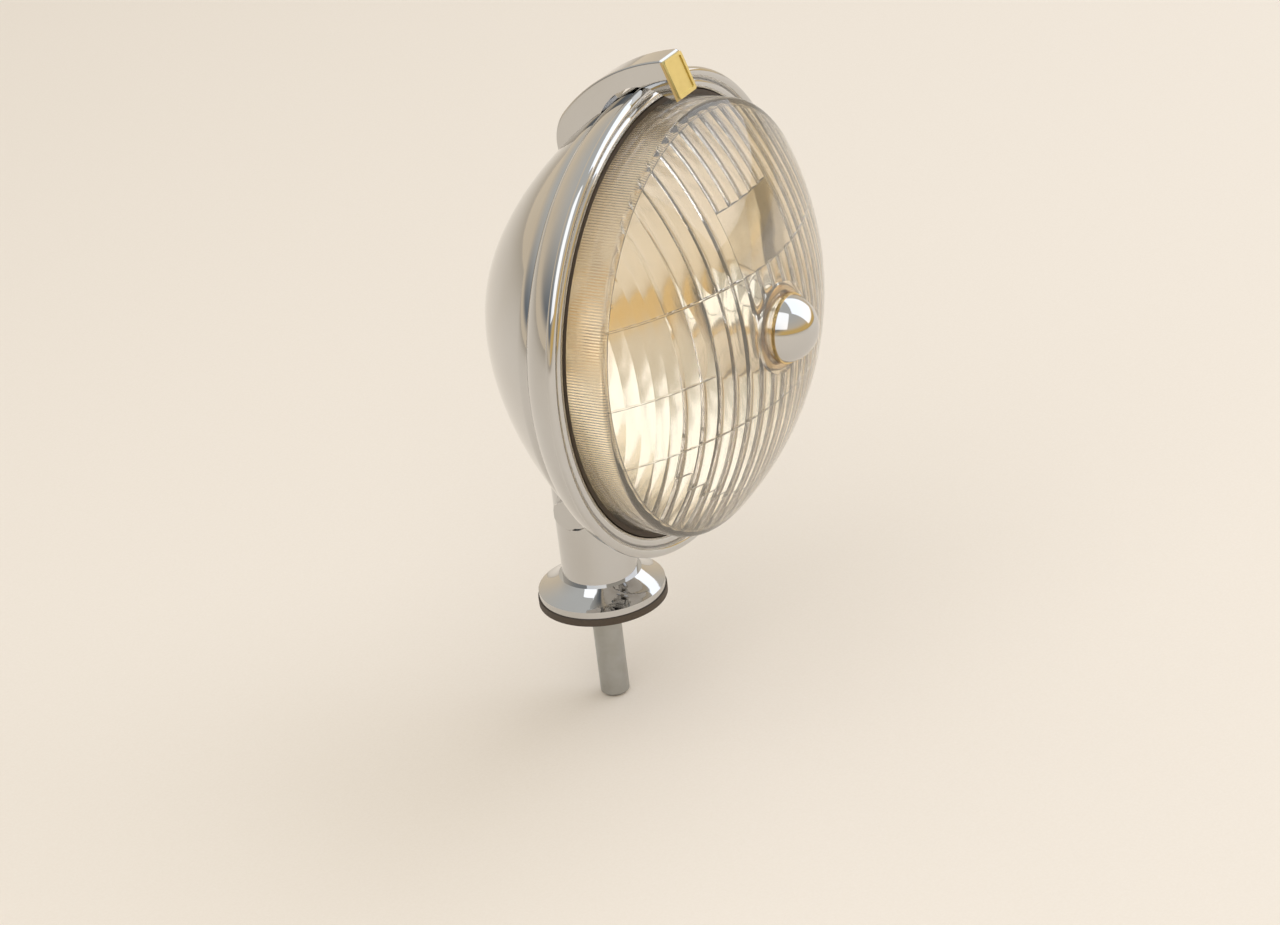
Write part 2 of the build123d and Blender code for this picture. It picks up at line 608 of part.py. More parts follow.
def make_post():
    """Post with a round head, a slot for the tongue and flats for the washers."""
    head = across(POST_R, 2 * POST_R) & upright(POST_R, PIVOT_Z - POST_R, PIVOT_Z + POST_R)
    post = upright(POST_R, FOOT_TOP_Z, PIVOT_Z) + head
    slot_high = SLOT_FLOOR + POST_R + CUT_OVER
    slot = Box(TONGUE_THICK + 2 * SLOT_GAP, 3 * POST_R, slot_high)
    post -= Pos(0, 0, PIVOT_Z - SLOT_FLOOR + slot_high / 2) * slot
    for sign in (-1, 1):
        post -= across(WASHER_R + EAR_FLAT_GAP, POST_R, sign * (EAR_FLAT_X + POST_R / 2))
    post -= across(BOLT_R + SEAT_GAP, 4 * POST_R)
    return post - upright(SPIGOT_R + RUN_GAP, FOOT_TOP_Z, FOOT_TOP_Z + SPIGOT_HIGH + SPIGOT_TOP_GAP)


def hexagon(x):
    """A chamfered hexagon on the tilt axis, as thick as the bolt's head, from x outwards."""
    blank = chamfer(Cylinder(HEX_R, HEX_HIGH).edges().filter_by(GeomType.CIRCLE), HEX_CHAMFER)
    blank &= extrude(RegularPolygon(HEX_R, 6), HEX_HIGH / 2, both=True)
    middle_x = x + HEX_HIGH / 2 if x > 0 else x - HEX_HIGH / 2
    return Pos(middle_x, 0, PIVOT_Z) * Rot(0, 90, 0) * blank


def make_bolt():
    seat_x = EAR_FLAT_X + WASHER_THICK
    end_x = seat_x + HEX_HIGH - BOLT_END_CHAMFER
    shank = Cylinder(BOLT_R, seat_x + end_x)
    shank = chamfer(shank.edges().filter_by(GeomType.CIRCLE).sort_by(Axis.Z)[-1], BOLT_END_CHAMFER)
    return hexagon(-seat_x) + Pos((end_x - seat_x) / 2, 0, PIVOT_Z) * Rot(0, 90, 0) * shank


def make_nut():
    return hexagon(EAR_FLAT_X + WASHER_THICK) - across(BOLT_R + SEAT_GAP, 4 * POST_R)


def make_washers():
    washers = []
    for sign in (-1, 1):
        x = sign * (EAR_FLAT_X + WASHER_THICK / 2)
        washers.append(across(WASHER_R, WASHER_THICK, x) - across(BOLT_R + SEAT_GAP, 4 * POST_R))
    return Compound(children=washers)


def make_foot():
    """Flared base with the spigot that the post turns on and the blind bore for the stud."""
    edge_top = (FOOT_R, PAD_THICK + FOOT_EDGE)
    slope = atan2(FOOT_TOP_Z - edge_top[1], FOOT_R - FOOT_TOP_R)
    middle = ((FOOT_R + FOOT_TOP_R) / 2, (edge_top[1] + FOOT_TOP_Z) / 2)
    hollow = (middle[0] - FOOT_HOLLOW * sin(slope), middle[1] - FOOT_HOLLOW * cos(slope))
    spigot_top = FOOT_TOP_Z + SPIGOT_HIGH
    corners = [(FOOT_TOP_R, FOOT_TOP_Z), (SPIGOT_R, FOOT_TOP_Z), (SPIGOT_R, spigot_top)]
    corners += [(0, spigot_top), (0, PAD_THICK), (FOOT_R, PAD_THICK), edge_top]
    edges = Polyline(*[(r, 0, z) for r, z in corners]).edges()
    arc_points = [(r, 0, z) for r, z in (edge_top, hollow, (FOOT_TOP_R, FOOT_TOP_Z))]
    edges.append(ThreePointArc(*arc_points))
    foot = revolve(Face(Wire(edges)), Axis.Z)
    return foot - upright(STUD_R + SEAT_GAP, 0, PAD_THICK + STUD_SET)


def make_pad():
    bore = upright(STUD_R + PAD_BORE_GAP, -CUT_OVER, PAD_THICK + CUT_OVER)
    return upright(FOOT_R + PAD_LIP, 0, PAD_THICK) - bore


def make_stud():
    """Stud with a relief just below the mounting face."""
    stud = upright(STUD_R, -STUD_LONG, PAD_THICK + STUD_SET)
    stud = chamfer(stud.edges().filter_by(GeomType.CIRCLE), STUD_CHAMFER)
    relief = upright(2 * STUD_R, -STUD_RELIEF_LONG, 0)
    return stud - (relief - upright(STUD_R - STUD_RELIEF_DEEP, -CUT_OVER, CUT_OVER))


pieces["shell"] = LAMP * make_shell()
pieces["cable_grommet"] = LAMP * make_grommet()
pieces["rim"] = LAMP * make_rim()
pieces["rim_seal"] = LAMP * make_seal()
pieces["fluted_glass"] = LAMP * make_glass()
pieces["reflector"] = LAMP * make_reflector()
pieces["bulb_holder"] = LAMP * make_holder()
pieces["bulb"] = LAMP * make_bulb()
pieces["bulb_shield"] = LAMP * make_shield()
pieces["shield_ring"] = LAMP * make_shield_ring()
pieces["bullet_collar"] = LAMP * make_collar()
pieces["centre_bullet"] = LAMP * make_bullet()
pieces["top_clip"] = LAMP * make_clip()
pieces["clip_badge"] = LAMP * make_badge()
pieces["saddle"] = make_saddle()
pieces["post"] = make_post()
pieces["tilt_bolt"] = make_bolt()
pieces["tilt_nut"] = make_nut()
pieces["tilt_washers"] = make_washers()
pieces["foot"] = make_foot()
pieces["foot_pad"] = make_pad()
pieces["mounting_stud"] = make_stud()

os.makedirs("parts", exist_ok=True)
for name, piece in pieces.items():
    export_step(piece, f"parts/{name}.step")
    print(name, len(piece.solids()), round(piece.volume))
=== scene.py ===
# %% [markdown]
# An auxiliary driving lamp of the 7 inch class, as large classic cars carry it: a spun brass shell
# and rim under chrome plate, a domed pressed glass with flutes on its inside, a bullet in its
# middle and a clip on top. It turns and tilts on a short post with one stud. The CAD model comes
# first, and this script puts the real finishes on it.

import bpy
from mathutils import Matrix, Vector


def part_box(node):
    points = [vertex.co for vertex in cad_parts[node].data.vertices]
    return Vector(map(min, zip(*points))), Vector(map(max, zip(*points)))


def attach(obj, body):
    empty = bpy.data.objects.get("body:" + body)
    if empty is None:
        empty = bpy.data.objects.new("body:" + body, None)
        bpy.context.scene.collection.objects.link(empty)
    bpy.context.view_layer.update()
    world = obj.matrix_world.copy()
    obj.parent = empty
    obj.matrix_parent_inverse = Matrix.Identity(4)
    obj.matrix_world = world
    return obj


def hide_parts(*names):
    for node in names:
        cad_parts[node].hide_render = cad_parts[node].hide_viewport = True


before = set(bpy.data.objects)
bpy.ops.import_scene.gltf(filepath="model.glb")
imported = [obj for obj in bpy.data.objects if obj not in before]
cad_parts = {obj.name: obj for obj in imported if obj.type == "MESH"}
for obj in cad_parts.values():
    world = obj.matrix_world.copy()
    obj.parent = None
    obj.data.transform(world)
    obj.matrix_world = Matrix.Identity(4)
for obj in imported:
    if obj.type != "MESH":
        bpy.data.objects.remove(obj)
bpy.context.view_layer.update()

# %% Other modules
import bmesh
import bpy
import math
from mathutils import Matrix, Vector

print("Blender", bpy.app.version_string)

# %% [markdown]
# Every place below is worked out from the frame, in metres. The lamp's axis runs along Y through
# the middle of the rim, and the lip of the rim, where the lamp is widest, stands 50 mm ahead of the
# stud.

# %% Where the lamp is
rim_low, rim_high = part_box("rim")
LIP_AHEAD = 0.050
LAMP_CENTRE = Vector(((rim_low.x + rim_high.x) / 2, -LIP_AHEAD, (rim_low.z + rim_high.z) / 2))
print("lamp centre", list(LAMP_CENTRE), "rim", (rim_high.x - rim_low.x) * 1000, "mm across")

# %% [markdown]
# Finishes are node trees. Three small helpers keep them readable: one turns a colour as a web page
# writes it into the linear numbers that a renderer wants, one adds a node with its settings and
# links, and one starts a material with its Principled shader.

# %% Colour and node helpers
def linear(hex_colour):
    """sRGB hex, such as d8c8b0, as a linear RGBA tuple."""
    channels = [int(hex_colour[i:i + 2], 16) / 255 for i in (0, 2, 4)]
    bent = [c / 12.92 if c <= 0.04045 else ((c + 0.055) / 1.055) ** 2.4 for c in channels]
    return (*bent, 1.0)


def add(tree, kind, settings=None, links=None):
    """A new node. Settings and links name a socket, a socket's number or a property of the node."""
    node = tree.nodes.new("ShaderNode" + kind)
    for key, value in (settings or {}).items():
        if isinstance(key, int) or key in node.inputs:
            node.inputs[key].default_value = value
        else:
            setattr(node, key, value)
    for key, source in (links or {}).items():
        tree.links.new(source, node.inputs[key])
    return node


def start_material(name, **sockets):
    """A material with a Principled shader whose even values are set on its own sockets."""
    material = bpy.data.materials.new(name)
    material.use_nodes = True
    shader = material.node_tree.nodes["Principled BSDF"]
    for socket, value in sockets.items():
        shader.inputs[socket.replace("_", " ")].default_value = value
    return material, material.node_tree, shader


def finish_nodes(material, *names):
    """The CAD nodes take the material in all their slots."""
    for name in names:
        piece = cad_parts[name]
        if not piece.data.materials:
            piece.data.materials.append(material)
        for slot in piece.material_slots:
            slot.material = material
    print(material.name, "on", ", ".join(names))

# %% [markdown]
# A lathe makes most of this lamp, and the script can spin the same sections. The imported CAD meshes
# are made of long thin triangles, which a mirror shows up as notches in its highlights. So three
# bright turned pieces are spun again here in even rings of four-sided faces, from sections in
# millimetres, as (radius, distance behind the lip). The shell's and the bullet's are the CAD
# model's lines and arcs. The rim's front is not.

# %% Lathe helpers
TURN_STEPS = 288  # faces round the axis
ARC_STEPS = 20  # faces along an arc
SHARP_CORNER = math.radians(22)
MERGE_WITHIN = 1e-7  # m
print("turned pieces get", TURN_STEPS, "faces round their axis")


def arc_through(first, middle, last, steps=ARC_STEPS):
    """Points on the circle through three points, without the last."""
    (ax, ay), (bx, by), (cx, cy) = first, middle, last
    d = 2 * (ax * (by - cy) + bx * (cy - ay) + cx * (ay - by))
    a2, b2, c2 = ax * ax + ay * ay, bx * bx + by * by, cx * cx + cy * cy
    ox = (a2 * (by - cy) + b2 * (cy - ay) + c2 * (ay - by)) / d
    oy = (a2 * (cx - bx) + b2 * (ax - cx) + c2 * (bx - ax)) / d
    start, through, end = [math.atan2(y - oy, x - ox) for x, y in (first, middle, last)]
    sweep = (end - start) % math.tau
    if (through - start) % math.tau > sweep:
        sweep -= math.tau
    radius = math.hypot(ax - ox, ay - oy)
    angles = [start + sweep * i / steps for i in range(steps)]
    return [(ox + radius * math.cos(angle), oy + radius * math.sin(angle)) for angle in angles]


def section_points(*runs):
    """A closed section from lines of two points and arcs of three."""
    points = []
    for run in runs:
        points += arc_through(*run) if len(run) == 3 else [run[0]]
    return points


def smooth_mesh_object(name, vertices, faces):
    """An object with smooth shading and crisp corners, its normals outwards."""
    mesh = bpy.data.meshes.new(name)
    mesh.from_pydata(vertices, [], faces)
    shape = bmesh.new()
    shape.from_mesh(mesh)
    bmesh.ops.remove_doubles(shape, verts=shape.verts, dist=MERGE_WITHIN)
    bmesh.ops.recalc_face_normals(shape, faces=shape.faces)
    shape.to_mesh(mesh)
    shape.free()
    mesh.polygons.foreach_set("use_smooth", [True] * len(mesh.polygons))
    mesh.set_sharp_from_angle(angle=SHARP_CORNER)
    piece = bpy.data.objects.new(name, mesh)
    bpy.context.scene.collection.objects.link(piece)
    return piece


def at_lamp(radius, behind, angle):
    """A place in metres from millimetres in the lamp's own frame."""
    x, z = radius * math.sin(angle) / 1000, radius * math.cos(angle) / 1000
    return LAMP_CENTRE + Vector((x, behind / 1000, z))


def spin(name, section, material, replaced):
    """A turned piece on the lamp's body that stands for a CAD node."""
    count = len(section)
    angles = [math.tau * i / TURN_STEPS for i in range(TURN_STEPS)]
    vertices = [at_lamp(r, y, angle) for angle in angles for r, y in section]
    faces = []
    for i in range(TURN_STEPS):
        near, far = i * count, (i + 1) % TURN_STEPS * count
        for k in range(count):
            after = (k + 1) % count
            # A line on the axis itself makes no face.
            if section[k][0] > 0 or section[after][0] > 0:
                faces.append((near + k, near + after, far + after, far + k))
    piece = smooth_mesh_object(name, vertices, faces)
    piece.data.materials.append(material)
    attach(piece, "lamp")
    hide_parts(replaced)
    print(name, len(piece.data.polygons), "faces")
    return piece

# %% [markdown]
# Chrome plate is a few microns of chromium over nickel, on brass that was spun on a lathe and
# buffed. It mirrors what stands round it, a little cooler and darker than silver. What tells the
# eye that it is metal and no computer mirror are faint buffing marks that run round the lathe's
# axis and a thin uneven film of dust. So roughness gets both, a ring pattern and soft clouds, and
# the bump is only microns high.

# %% Chromed brass
CHROME_BUFFING = 0.0009  # spacing of the buffing marks: real ones are finer and would not show
CHROME_CLOUD = 0.035  # size of the patches of film
FILM_ROUGH = (0.025, 0.075)  # roughness from clean plate to film
MARKS_ROUGH = (-0.01, 0.015)  # what the buffing marks take from it or add


def rings_about_lamp_axis(tree, spacing):
    """A noise that changes with the distance from the lamp's axis and along it, not round it."""
    place = add(tree, "TexCoord").outputs["Object"]
    apart = add(tree, "VectorMath", {"operation": "SUBTRACT", 1: LAMP_CENTRE}, {0: place})
    axes = add(tree, "SeparateXYZ", None, {0: apart.outputs[0]})
    across = add(tree, "CombineXYZ", None, {"X": axes.outputs["X"], "Z": axes.outputs["Z"]})
    distance = add(tree, "VectorMath", {"operation": "LENGTH"}, {0: across.outputs[0]})
    track = add(tree, "CombineXYZ", None, {"X": distance.outputs["Value"], "Y": axes.outputs["Y"]})
    return add(tree, "TexNoise", {"Scale": 1 / spacing, "Detail": 3.0},
               {"Vector": track.outputs[0]})


def make_chrome():
    material, tree, shader = start_material("chromed_brass", Metallic=1.0)
    place = add(tree, "TexCoord").outputs["Object"]
    marks = rings_about_lamp_axis(tree, CHROME_BUFFING)
    cloud = add(tree, "TexNoise", {"Scale": 1 / CHROME_CLOUD, "Detail": 4.0}, {"Vector": place})
    film = add(tree, "MapRange", {"From Min": 0.35, "From Max": 0.75,
                                  "To Min": FILM_ROUGH[0], "To Max": FILM_ROUGH[1]},
               {"Value": cloud.outputs["Fac"]})
    rough = add(tree, "MapRange", {"From Min": 0.3, "From Max": 0.7,
                                   "To Min": MARKS_ROUGH[0], "To Max": MARKS_ROUGH[1]},
                {"Value": marks.outputs["Fac"]})
    total = add(tree, "Math", {"operation": "ADD"}, {0: film.outputs[0], 1: rough.outputs[0]})
    tree.links.new(total.outputs[0], shader.inputs["Roughness"])
    tint = add(tree, "Mix", {"data_type": "RGBA", 6: linear("cfd0d2"), 7: linear("c2c0bc")},
               {0: cloud.outputs["Fac"]})
    tree.links.new(tint.outputs[2], shader.inputs["Base Color"])
    bump = add(tree, "Bump", {"Strength": 0.03, "Distance": 0.0001},
               {"Height": marks.outputs["Fac"]})
    tree.links.new(bump.outputs[0], shader.inputs["Normal"])
    return material


chrome = make_chrome()
finish_nodes(chrome, "shell", "rim", "centre_bullet", "top_clip", "saddle", "post", "foot",
             "tilt_bolt", "tilt_nut", "tilt_washers")

# %% [markdown]
# The shell is spun brass sheet of 1.2 mm: a short cylinder that slips into the rim, a round
# shoulder, a bowl and a nose cap, and inside its mouth a small flange that the reflector rests on.
# The spinner draws the sheet over a form in one go, so its arcs run into one another without a
# kink, and a mirror shows at once where they do not. After spinning, one hole is drilled low in the
# back for the lead's grommet. Here a boolean cut does that, and it is applied at once, so that only
# a plain mesh is left.

# %% Shell
GROMMET_HOLE_R = 6.05  # mm
GROMMET_PLACE = at_lamp(24.1, 71.467, math.pi)
GROMMET_AXIS = Vector((0, 0.8928, -0.4504))
DRILL_LONG = 0.01  # m
DRILL_STEPS = 64  # faces round it


def drill(piece, place, axis, radius):
    """A round hole through the piece's wall."""
    shape = bmesh.new()
    turn = Matrix.Translation(place) @ axis.to_track_quat("Z", "Y").to_matrix().to_4x4()
    bmesh.ops.create_cone(shape, cap_ends=True, segments=DRILL_STEPS, radius1=radius / 1000,
                          radius2=radius / 1000, depth=DRILL_LONG, matrix=turn)
    mesh = bpy.data.meshes.new("drill")
    shape.to_mesh(mesh)
    shape.free()
    tool = bpy.data.objects.new("drill", mesh)
    bpy.context.scene.collection.objects.link(tool)
    cut = piece.modifiers.new("hole", "BOOLEAN")
    cut.operation, cut.solver, cut.object = "DIFFERENCE", "EXACT", tool
    whole = piece.evaluated_get(bpy.context.evaluated_depsgraph_get())
    drilled = bpy.data.meshes.new_from_object(whole)
    piece.modifiers.clear()
    piece.data = drilled
    bpy.data.objects.remove(tool)
    print(piece.name, "has", len(drilled.polygons), "faces after drilling")


shell_section = section_points(
    ((84.5, 9.7), (84.5, 15.7)),
    ((84.5, 15.7), (84.039, 18.641), (82.7, 21.3)),
    ((82.7, 21.3), (56.434, 49.928), (24.1, 71.467)),
    ((24.1, 71.467), (12.386, 75.748), (0.0, 77.202)),
    ((0.0, 77.202), (0.0, 76.002)),
    ((0.0, 76.002), (12.109, 74.581), (23.559, 70.396)),
    ((23.559, 70.396), (55.654, 49.016), (81.725, 20.601)),
    ((81.725, 20.601), (82.897, 18.274), (83.3, 15.7)),
    ((83.3, 15.7), (83.3, 10.9)),
    ((83.3, 10.9), (80.0, 10.9)),
    ((80.0, 10.9), (80.0, 9.7)),
    ((80.0, 9.7), (84.5, 9.7)))
shell_spun = spin("shell_spun", shell_section, chrome, "shell")
drill(shell_spun, GROMMET_PLACE, GROMMET_AXIS, GROMMET_HOLE_R)

# %% [markdown]
# The centre bullet is turned from solid brass. How it is held does not show: here a hub fills the
# bore of the glass, and a stem is riveted over behind the bulb's shield. Its pointed cap is so
# strongly curved that it mirrors the whole room in the size of a coin, with the horizon as one
# clear line.

# %% Centre bullet
bullet_section = section_points(
    ((13.1, -48.979), (10.165, -54.72), (5.0, -58.579)),
    ((5.0, -58.579), (2.554, -59.363), (0.0, -59.627)),
    ((0.0, -59.627), (0.0, -36.95)),
    ((0.0, -36.95), (4.9, -36.95)),
    ((4.9, -36.95), (4.9, -37.85)),
    ((4.9, -37.85), (4.0, -37.85)),
    ((4.0, -37.85), (4.0, -44.0)),
    ((4.0, -44.0), (11.95, -44.0)),
    ((11.95, -44.0), (11.95, -48.979)),
    ((11.95, -48.979), (13.1, -48.979)))
spin("centre_bullet_spun", bullet_section, chrome, "centre_bullet")

# %% [markdown]
# The rim is one spun ring: a rounded skirt, a broad bead at the lip, a groove and a raised step
# that frames the glass. The bead and the step each draw one bright line, and the groove between
# them stays darker, which is what makes a chromed rim read as rolled sheet and not as a flat
# washer. The bead and the step are fuller here than in the CAD rim, and the front stands up to 2.2
# mm ahead of it in the groove.

# %% Rim
rim_section = section_points(
    ((85.9, 15.5), (91.552, 9.637), (94.509, 2.05)),
    ((94.509, 2.05), (94.7, -0.35), (92.8, -1.4)),
    ((92.8, -1.4), (91.5, -0.95), (90.6, 0.3)),
    ((90.6, 0.3), (88.7, -1.1), (86.6, 0.2)),
    ((86.6, 0.2), (86.6, 3.0)),
    ((86.6, 3.0), (90.909, 3.0)),
    ((90.909, 3.0), (92.109, 4.2)),
    ((92.109, 4.2), (89.594, 10.63), (84.7, 15.5)),
    ((84.7, 15.5), (85.9, 15.5)))
spin("rim_spun", rim_section, chrome, "rim")

# %% [markdown]
# Pressed glass is soda-lime glass, squeezed hot between a plunger and a mould. Its outside is
# fire-polished, so it mirrors sharply. Its inside carries the flutes and the faint orange peel of
# the plunger, so it is a little rough and blurs what lies behind. Years of dust and fine scratches
# scatter a few percent of the light, which lifts the dark creases between the flutes: that share is
# left to the shader's diffuse part.

# %% Pressed glass
GLASS_RIPPLE = 0.012  # m, waves of the pressed face
DOME_R = 0.12636  # the outer face is part of this sphere
DOME_CENTRE = LAMP_CENTRE + Vector((0, 0.07806, 0))
SKIN = (0.001, 0.0015)  # m below the dome: past the first, the inside's roughness sets in
INSIDE_ROUGH = 0.05


def make_pressed_glass():
    material, tree, shader = start_material(
        "pressed_glass", Base_Color=linear("fffaf0"), IOR=1.52, Transmission_Weight=0.93)
    place = add(tree, "TexCoord").outputs["Object"]
    apart = add(tree, "VectorMath", {"operation": "SUBTRACT", 1: DOME_CENTRE}, {0: place})
    distance = add(tree, "VectorMath", {"operation": "LENGTH"}, {0: apart.outputs[0]})
    inside = add(tree, "MapRange", {"From Min": DOME_R - SKIN[0], "From Max": DOME_R - SKIN[1],
                                    "To Min": 0.0, "To Max": INSIDE_ROUGH},
                 {"Value": distance.outputs["Value"]})
    tree.links.new(inside.outputs[0], shader.inputs["Roughness"])
    ripple = add(tree, "TexNoise", {"Scale": 1 / GLASS_RIPPLE, "Detail": 1.0}, {"Vector": place})
    bump = add(tree, "Bump", {"Strength": 0.12, "Distance": 0.0004},
               {"Height": ripple.outputs["Fac"]})
    tree.links.new(bump.outputs[0], shader.inputs["Normal"])
    return material


pressed_glass = make_pressed_glass()
finish_nodes(pressed_glass, "fluted_glass")


def make_ribbed_glass():
    """The same glass where the mould's fine cuts left it matt."""
    material, tree, shader = start_material(
        "ribbed_pressed_glass", Base_Color=linear("fff8ea"), IOR=1.52, Transmission_Weight=0.9)
    place = add(tree, "TexCoord").outputs["Object"]
    cloud = add(tree, "TexNoise", {"Scale": 1 / GLASS_RIPPLE, "Detail": 3.0}, {"Vector": place})
    rough = add(tree, "MapRange", {"To Min": 0.06, "To Max": 0.16}, {"Value": cloud.outputs["Fac"]})
    tree.links.new(rough.outputs[0], shader.inputs["Roughness"])
    return material


ribbed_glass = make_ribbed_glass()
print(ribbed_glass.name, "for the ribs of the side band")

# %% [markdown]
# The upright band of the glass, between its dome and its flange, is lined with fine ribs that run
# straight back. They scatter the light that would leave sideways, so the band looks like silk and
# hides the dark edge of the reflector. They are too fine for the CAD model, and bump cannot bend
# light as real ribs do, so they are a thin ribbed sleeve of the same glass inside the band.

# %% Ribs of the side band
BAND_RIB_PITCH = 1.1  # mm
BAND_RIB_HIGH = 0.08  # mm, above and below its middle
BAND_RIB_R = 79.5  # mm, the middle of the ribs
BAND_BACK_R = 79.97  # mm, the sleeve's smooth outside, close to the band
BAND_LONG = (-14.6, 2.7)  # mm behind the lip
STEPS_PER_RIB = 6


def make_band_ribs():
    """A thin sleeve whose inside goes in and out in a wave."""
    ribs = round(math.tau * BAND_RIB_R / BAND_RIB_PITCH)
    steps = ribs * STEPS_PER_RIB
    vertices, faces = [], []
    for i in range(steps):
        angle = math.tau * i / steps
        crest = BAND_RIB_R - BAND_RIB_HIGH * math.cos(math.tau * i / STEPS_PER_RIB)
        for radius in (crest, BAND_BACK_R):
            for behind in BAND_LONG:
                vertices.append(at_lamp(radius, behind, angle))
    for i in range(steps):
        near, far = 4 * i, 4 * ((i + 1) % steps)
        for a, b in ((0, 1), (1, 3), (3, 2), (2, 0)):
            faces.append((near + a, near + b, far + b, far + a))
    sleeve = smooth_mesh_object("glass_band_ribs", vertices, faces)
    sleeve.data.materials.append(ribbed_glass)
    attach(sleeve, "lamp")
    print(ribs, "ribs", len(sleeve.data.polygons), "faces")


make_band_ribs()

# %% [markdown]
# The reflector is brass, silver plated and lacquered against tarnish. Silver has the warmest and
# brightest mirror of the white metals, and old lacquer adds a breath of yellow.

# %% Silvered reflector
LACQUER_CLOUD = 0.02  # m, patches of lacquer


def make_silver():
    material, tree, shader = start_material("silvered_reflector", Metallic=1.0)
    place = add(tree, "TexCoord").outputs["Object"]
    cloud = add(tree, "TexNoise", {"Scale": 1 / LACQUER_CLOUD, "Detail": 3.0}, {"Vector": place})
    tint = add(tree, "Mix", {"data_type": "RGBA", 6: linear("fbf8f1"), 7: linear("f3ecdd")},
               {0: cloud.outputs["Fac"]})
    tree.links.new(tint.outputs[2], shader.inputs["Base Color"])
    rough = add(tree, "MapRange", {"To Min": 0.08, "To Max": 0.17}, {"Value": cloud.outputs["Fac"]})
    tree.links.new(rough.outputs[0], shader.inputs["Roughness"])
    return material


silver = make_silver()
finish_nodes(silver, "reflector", "bulb_shield")

# %% [markdown]
# Brass shows in three ways: the ring behind the glass is polished and has darkened a little, the
# bulb holder is the same metal, and the clip's badge is gilt, a thin wash of gold that looks
# yellower.

# %% Brass and gilt
BRASS_CLOUD = 0.004  # m, patches of tarnish


def make_brass(name, bright, dull, low_rough, high_rough):
    material, tree, shader = start_material(name, Metallic=1.0)
    place = add(tree, "TexCoord").outputs["Object"]
    cloud = add(tree, "TexNoise", {"Scale": 1 / BRASS_CLOUD, "Detail": 5.0}, {"Vector": place})
    tint = add(tree, "Mix", {"data_type": "RGBA", 6: linear(bright), 7: linear(dull)},
               {0: cloud.outputs["Fac"]})
    tree.links.new(tint.outputs[2], shader.inputs["Base Color"])
    rough = add(tree, "MapRange", {"To Min": low_rough, "To Max": high_rough},
                {"Value": cloud.outputs["Fac"]})
    tree.links.new(rough.outputs[0], shader.inputs["Roughness"])
    bump = add(tree, "Bump", {"Strength": 0.15, "Distance": 0.0001},
               {"Height": cloud.outputs["Fac"]})
    tree.links.new(bump.outputs[0], shader.inputs["Normal"])
    return material


polished_brass = make_brass("polished_brass", "e6cf9c", "c9a86a", 0.08, 0.22)
gilt_brass = make_brass("gilt_brass", "ddd095", "cbbb7c", 0.25, 0.42)
finish_nodes(polished_brass, "bulb_holder", "shield_ring", "bullet_collar")
finish_nodes(gilt_brass, "clip_badge")

# %% [markdown]
# The seal, the pad under the foot and the grommet are moulded black rubber. Rubber is never quite
# black: it greys with a bloom of wax and dust, and its moulded skin scatters light so that no sharp
# highlight forms.

# %% Black rubber
RUBBER_GRAIN = 0.0008  # m, moulded grain


def make_rubber():
    material, tree, shader = start_material("black_rubber", IOR=1.52)
    place = add(tree, "TexCoord").outputs["Object"]
    grain = add(tree, "TexNoise", {"Scale": 1 / RUBBER_GRAIN, "Detail": 4.0}, {"Vector": place})
    tint = add(tree, "Mix", {"data_type": "RGBA", 6: linear("3a322a"), 7: linear("564a3e")},
               {0: grain.outputs["Fac"]})
    tree.links.new(tint.outputs[2], shader.inputs["Base Color"])
    rough = add(tree, "MapRange", {"To Min": 0.5, "To Max": 0.75}, {"Value": grain.outputs["Fac"]})
    tree.links.new(rough.outputs[0], shader.inputs["Roughness"])
    bump = add(tree, "Bump", {"Strength": 0.4, "Distance": 0.0002},
               {"Height": grain.outputs["Fac"]})
    tree.links.new(bump.outputs[0], shader.inputs["Normal"])
    return material


rubber = make_rubber()
finish_nodes(rubber, "rim_seal", "foot_pad", "cable_grommet")

# %% [markdown]
# The stud is zinc plated steel. Zinc is greyer and softer than chrome, with a fine crystal grain,
# so its highlights are broad.

# %% Zinc plated steel
ZINC_GRAIN = 0.0015  # m, crystals, drawn coarser than real ones so that they show


def make_zinc():
    material, tree, shader = start_material("zinc_plated_steel", Metallic=1.0)
    place = add(tree, "TexCoord").outputs["Object"]
    grain = add(tree, "TexVoronoi", {"Scale": 1 / ZINC_GRAIN}, {"Vector": place})
    cloud = add(tree, "TexNoise", {"Scale": 0.2 / ZINC_GRAIN, "Detail": 4.0}, {"Vector": place})
    tint = add(tree, "Mix", {"data_type": "RGBA", 6: linear("b9bcbe"), 7: linear("a09f98")},
               {0: cloud.outputs["Fac"]})
    tree.links.new(tint.outputs[2], shader.inputs["Base Color"])
    rough = add(tree, "MapRange", {"To Min": 0.28, "To Max": 0.42},
                {"Value": grain.outputs["Distance"]})
    tree.links.new(rough.outputs[0], shader.inputs["Roughness"])
    return material


zinc = make_zinc()
finish_nodes(zinc, "mounting_stud")

# %% [markdown]
# The bulb's envelope is thin clear glass on a brass cap. It is deep inside and hardly shows.

# %% Bulb
BULB_CLOUD = 1 / 120  # m, patches of haze


def make_bulb_glass():
    material, tree, shader = start_material(
        "bulb_glass", Base_Color=linear("fdfbf2"), IOR=1.5, Transmission_Weight=1.0)
    place = add(tree, "TexCoord").outputs["Object"]
    cloud = add(tree, "TexNoise", {"Scale": 1 / BULB_CLOUD}, {"Vector": place})
    rough = add(tree, "MapRange", {"To Min": 0.0, "To Max": 0.05}, {"Value": cloud.outputs["Fac"]})
    tree.links.new(rough.outputs[0], shader.inputs["Roughness"])
    return material


bulb_glass = make_bulb_glass()
finish_nodes(bulb_glass, "bulb")

# %% [markdown]
# The lamp stands on its stud on a plain pale floor. The floor is so large that it fills the picture
# from above, and its far edge only shows in views that are close to level.

